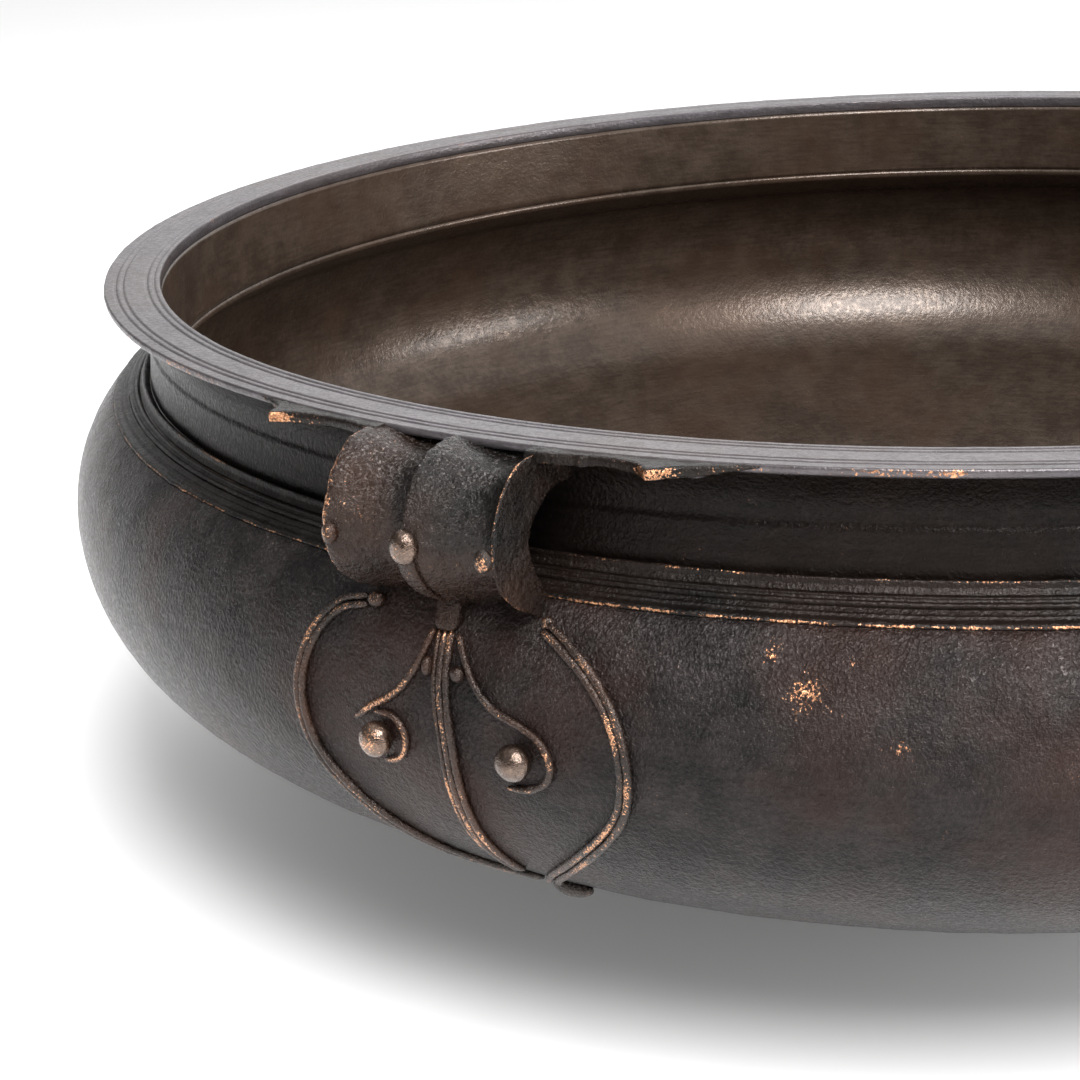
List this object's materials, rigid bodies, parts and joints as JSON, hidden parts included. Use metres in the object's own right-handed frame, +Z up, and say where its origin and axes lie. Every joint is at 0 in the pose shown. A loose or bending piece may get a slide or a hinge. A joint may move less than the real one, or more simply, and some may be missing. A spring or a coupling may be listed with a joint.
{
  "type": "brass urli bowl",
  "caption": "Wide shallow round metal bowl with a flat lip, short coved neck, ridged shoulder, fluted strap handles and wax-thread ornament below them.",
  "frame": {"origin": "centre of the resting face, at the bottom of the bowl", "axes": "+Z up along the bowl's axis, +X through the middle of the east handle, handles on +X and -X"},
  "size_m": [0.6542, 0.6334, 0.193],
  "materials": {
    "bowl_metal": "dark aged patina over cast brass, worn to copper brown on the ridges and the edge of the lip",
    "handle_metal": "dark aged patina, coarse as cast, worn bright on the crests",
    "ornament_metal": "dark patina rubbed back to warm copper brown"
  },
  "bodies": {
    "root": {"belly_flank": "bowl_metal", "belly_shoulder": "bowl_metal", "east_bud_left": "ornament_metal", "east_bud_right": "ornament_metal", "east_finial": "ornament_metal", "east_garland_left_inner": "ornament_metal", "east_garland_left_outer": "ornament_metal", "east_garland_right_inner": "ornament_metal", "east_garland_right_outer": "ornament_metal", "east_hook_left": "ornament_metal", "east_knot_left": "ornament_metal", "east_knot_right": "ornament_metal", "east_leaf_left": "handle_metal", "east_leaf_right": "handle_metal", "east_pearl_left": "ornament_metal", "east_pearl_right": "ornament_metal", "east_stem_cap": "handle_metal", "east_stem_left": "ornament_metal", "east_stem_middle": "ornament_metal", "east_stem_right": "ornament_metal", "east_strap": "handle_metal", "east_stud_left": "ornament_metal", "east_stud_middle": "ornament_metal", "east_stud_right": "ornament_metal", "east_tendril_left": "ornament_metal", "east_tendril_right": "ornament_metal", "east_tongue": "handle_metal", "floor_dish": "bowl_metal", "neck_collar": "bowl_metal", "rim_lip": "bowl_metal", "shoulder_ring_lower": "bowl_metal", "shoulder_ring_middle": "bowl_metal", "shoulder_ring_upper": "bowl_metal", "west_bud_left": "ornament_metal", "west_bud_right": "ornament_metal", "west_finial": "ornament_metal", "west_garland_left_inner": "ornament_metal", "west_garland_left_outer": "ornament_metal", "west_garland_right_inner": "ornament_metal", "west_garland_right_outer": "ornament_metal", "west_hook_left": "ornament_metal", "west_knot_left": "ornament_metal", "west_knot_right": "ornament_metal", "west_leaf_left": "handle_metal", "west_leaf_right": "handle_metal", "west_pearl_left": "ornament_metal", "west_pearl_right": "ornament_metal", "west_stem_cap": "handle_metal", "west_stem_left": "ornament_metal", "west_stem_middle": "ornament_metal", "west_stem_right": "ornament_metal", "west_strap": "handle_metal", "west_stud_left": "ornament_metal", "west_stud_middle": "ornament_metal", "west_stud_right": "ornament_metal", "west_tendril_left": "ornament_metal", "west_tendril_right": "ornament_metal", "west_tongue": "handle_metal"}
  },
  "joints": []
}
